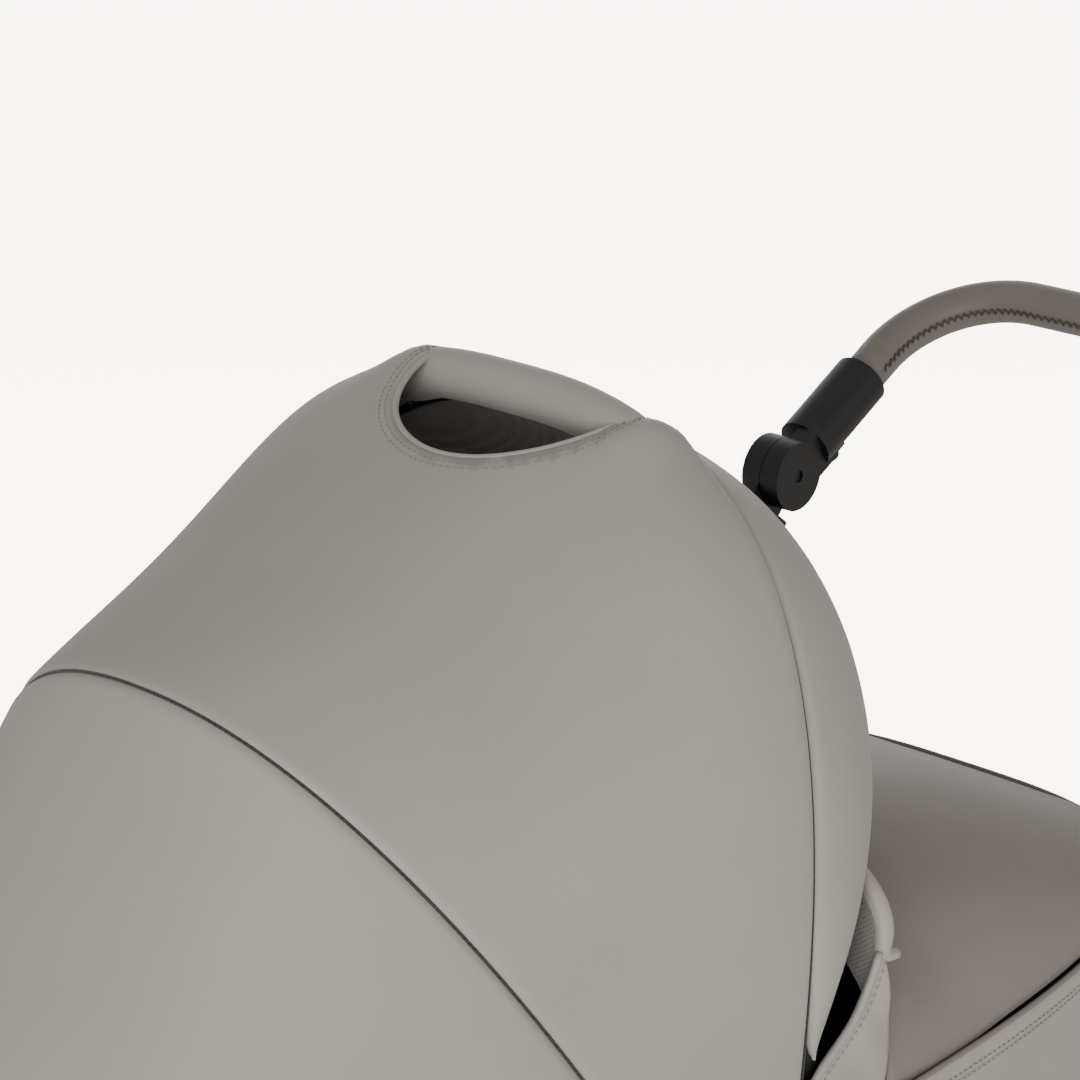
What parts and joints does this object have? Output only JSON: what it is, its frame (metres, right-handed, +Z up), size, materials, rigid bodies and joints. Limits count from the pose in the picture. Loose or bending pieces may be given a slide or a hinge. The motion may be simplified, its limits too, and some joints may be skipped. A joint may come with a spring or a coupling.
{
  "type": "baby stroller",
  "caption": "Folding pram chassis with a carrycot, arched leatherette hood with a carry grip, padded apron with a wind flap, and a stitched push handle.",
  "frame": {"origin": "on the ground under the middle of the whole pram", "axes": "+X is the right-hand side seen from the front, -Y is the front (the head end), +Z is up"},
  "size_m": [0.63, 1.0707, 1.1798],
  "materials": {
    "frame_tube": "anthracite satin powder coat on aluminium tube",
    "steel_pin": "zinc-plated steel",
    "core_tube": "bare aluminium tube",
    "bow_tube": "black glass-filled nylon bow",
    "steel_wire": "black powder-coated spring wire",
    "grip_leatherette": "fine-grained leatherette, whip-stitched on its underside",
    "hood_leatherette": "smooth matt greige leatherette with a thin padding",
    "apron_leatherette": "smooth matt greige leatherette, padded",
    "cot_leatherette": "smooth matt greige leatherette over the stiff tub",
    "lining_cotton": "soft quilted lining",
    "mattress_cotton": "off-white jersey over foam",
    "board": "thin fibreboard",
    "basket_cloth": "dark woven polyester",
    "tyre_rubber": "foam-filled rubber",
    "rim_plastic": "anthracite moulded nylon",
    "button_plastic": "dark grey moulded plastic",
    "black_plastic": "black glass-filled nylon, fine texture"
  },
  "bodies": {
    "chassis": {"front_frame": "frame_tube", "hub_cores": "black_plastic", "hub_bolts": "steel_pin", "hub_bolt_caps": "black_plastic", "caster_housings": "black_plastic", "cot_adapters": "black_plastic", "basket_hoop": "steel_wire", "basket": "basket_cloth"},
    "rear_frame": {"rear_legs": "frame_tube", "rear_beam": "black_plastic", "rear_axle_pins": "steel_pin"},
    "brake": {"brake_rod": "steel_pin", "brake_pedal": "black_plastic"},
    "push_frame": {"push_tubes": "frame_tube", "joint_sockets": "black_plastic"},
    "handlebar": {"handle_arms": "black_plastic", "handle_core": "core_tube", "handle_cover": "grip_leatherette"},
    "carrycot": {"cot_tub": "cot_leatherette", "cot_rim": "black_plastic", "cot_lining": "lining_cotton", "cot_board": "board", "mattress": "mattress_cotton", "cot_brackets": "black_plastic", "cot_feet": "black_plastic", "apron": "apron_leatherette", "apron_flap": "apron_leatherette", "hood_hinge_plates": "black_plastic", "hood_hinge_pins": "steel_pin"},
    "hood_rear": {"rear_bow": "bow_tube", "hood_back": "hood_leatherette"},
    "hood_main": {"main_bow": "bow_tube", "carry_grip": "grip_leatherette", "front_wire": "steel_wire", "hood_top": "hood_leatherette", "hood_front": "hood_leatherette"},
    "hood_visor": {"visor_wire": "steel_wire", "visor": "hood_leatherette"},
    "front_caster_left": {"front_fork_left": "black_plastic", "front_axle_left": "steel_pin"},
    "front_wheel_left": {"front_tyre_left": "tyre_rubber", "front_rim_left": "rim_plastic"},
    "swivel_tab_left": {"swivel_lock_left": "button_plastic"},
    "rear_wheel_left": {"rear_tyre_left": "tyre_rubber", "rear_rim_left": "rim_plastic", "rear_hub_cap_left": "black_plastic"},
    "fold_ring_left": {"fold_catch_left": "button_plastic"},
    "tilt_release_left": {"tilt_button_left": "button_plastic"},
    "cot_button_left": {"cot_release_left": "button_plastic"},
    "front_caster_right": {"front_fork_right": "black_plastic", "front_axle_right": "steel_pin"},
    "front_wheel_right": {"front_tyre_right": "tyre_rubber", "front_rim_right": "rim_plastic"},
    "swivel_tab_right": {"swivel_lock_right": "button_plastic"},
    "rear_wheel_right": {"rear_tyre_right": "tyre_rubber", "rear_rim_right": "rim_plastic", "rear_hub_cap_right": "black_plastic"},
    "fold_ring_right": {"fold_catch_right": "button_plastic"},
    "tilt_release_right": {"tilt_button_right": "button_plastic"},
    "cot_button_right": {"cot_release_right": "button_plastic"}
  },
  "joints": [
    {"name": "fold", "type": "hinge", "parent": "chassis", "child": "push_frame", "pos_m": [0, -0.00539, 0.49], "axis": [1, 0, 0], "range_deg": [0, 125]},
    {"name": "rear_leg_fold", "type": "hinge", "parent": "chassis", "child": "rear_frame", "pos_m": [0, -0.00539, 0.49], "axis": [1, 0, 0], "range_deg": [-50, 0]},
    {"name": "handle_tilt", "type": "hinge", "parent": "push_frame", "child": "handlebar", "pos_m": [0, 0.35161, 0.946], "axis": [1, 0, 0], "range_deg": [-40, 50]},
    {"name": "brake_press", "type": "hinge", "parent": "rear_frame", "child": "brake", "pos_m": [0, 0.21961, 0.149], "axis": [-1, 0, 0], "range_deg": [0, 20]},
    {"name": "cot_lift", "type": "slide", "parent": "chassis", "child": "carrycot", "axis": [0, 0, 1], "range_m": [0, 0.12]},
    {"name": "hood_fold", "type": "hinge", "parent": "carrycot", "child": "hood_rear", "pos_m": [0, -0.17539, 0.886], "axis": [1, 0, 0], "range_deg": [0, 24], "deforming": ["hood_back"]},
    {"name": "main_bow_fold", "type": "hinge", "parent": "hood_rear", "child": "hood_main", "pos_m": [0, -0.17539, 0.886], "axis": [1, 0, 0], "range_deg": [0, 42], "deforming": ["hood_top"]},
    {"name": "visor_fold", "type": "hinge", "parent": "hood_main", "child": "hood_visor", "pos_m": [0, -0.17539, 0.886], "axis": [1, 0, 0], "range_deg": [0, 14], "deforming": ["visor"]},
    {"name": "caster_swivel_left", "type": "hinge", "parent": "chassis", "child": "front_caster_left", "pos_m": [-0.215, -0.46539, 0.254], "axis": [0, 0, 1], "continuous": true},
    {"name": "front_wheel_spin_left", "type": "hinge", "parent": "front_caster_left", "child": "front_wheel_left", "pos_m": [-0.215, -0.42039, 0.112], "axis": [1, 0, 0], "continuous": true},
    {"name": "swivel_lock_press_left", "type": "slide", "parent": "chassis", "child": "swivel_tab_left", "axis": [0, 0, -1], "range_m": [0, 0.008]},
    {"name": "rear_wheel_spin_left", "type": "hinge", "parent": "rear_frame", "child": "rear_wheel_left", "pos_m": [0, 0.19461, 0.145], "axis": [1, 0, 0], "continuous": true},
    {"name": "fold_catch_pull_left", "type": "slide", "parent": "push_frame", "child": "fold_ring_left", "axis": [0.0362, 0.616, 0.7869], "range_m": [0, 0.01], "stiffness_N_per_m": 400, "springref_m": -0.004},
    {"name": "tilt_button_press_left", "type": "slide", "parent": "handlebar", "child": "tilt_release_left", "axis": [0, -0.4695, 0.8829], "range_m": [0, 0.004], "stiffness_N_per_m": 500, "springref_m": -0.002},
    {"name": "cot_release_press_left", "type": "slide", "parent": "carrycot", "child": "cot_button_left", "axis": [0, 0, -1], "range_m": [0, 0.0035], "stiffness_N_per_m": 500, "springref_m": -0.002},
    {"name": "caster_swivel_right", "type": "hinge", "parent": "chassis", "child": "front_caster_right", "pos_m": [0.215, -0.46539, 0.254], "axis": [0, 0, 1], "continuous": true},
    {"name": "front_wheel_spin_right", "type": "hinge", "parent": "front_caster_right", "child": "front_wheel_right", "pos_m": [0.215, -0.42039, 0.112], "axis": [1, 0, 0], "continuous": true},
    {"name": "swivel_lock_press_right", "type": "slide", "parent": "chassis", "child": "swivel_tab_right", "axis": [0, 0, -1], "range_m": [0, 0.008]},
    {"name": "rear_wheel_spin_right", "type": "hinge", "parent": "rear_frame", "child": "rear_wheel_right", "pos_m": [0, 0.19461, 0.145], "axis": [1, 0, 0], "continuous": true},
    {"name": "fold_catch_pull_right", "type": "slide", "parent": "push_frame", "child": "fold_ring_right", "axis": [-0.0362, 0.616, 0.7869], "range_m": [0, 0.01], "stiffness_N_per_m": 400, "springref_m": -0.004},
    {"name": "tilt_button_press_right", "type": "slide", "parent": "handlebar", "child": "tilt_release_right", "axis": [0, -0.4695, 0.8829], "range_m": [0, 0.004], "stiffness_N_per_m": 500, "springref_m": -0.002},
    {"name": "cot_release_press_right", "type": "slide", "parent": "carrycot", "child": "cot_button_right", "axis": [0, 0, -1], "range_m": [0, 0.0035], "stiffness_N_per_m": 500, "springref_m": -0.002}
  ],
  "couplings": [
    {"joint": "rear_leg_fold", "follows": "fold", "ratio": -0.4},
    {"joint": "main_bow_fold", "follows": "hood_fold", "ratio": 1.75}
  ]
}
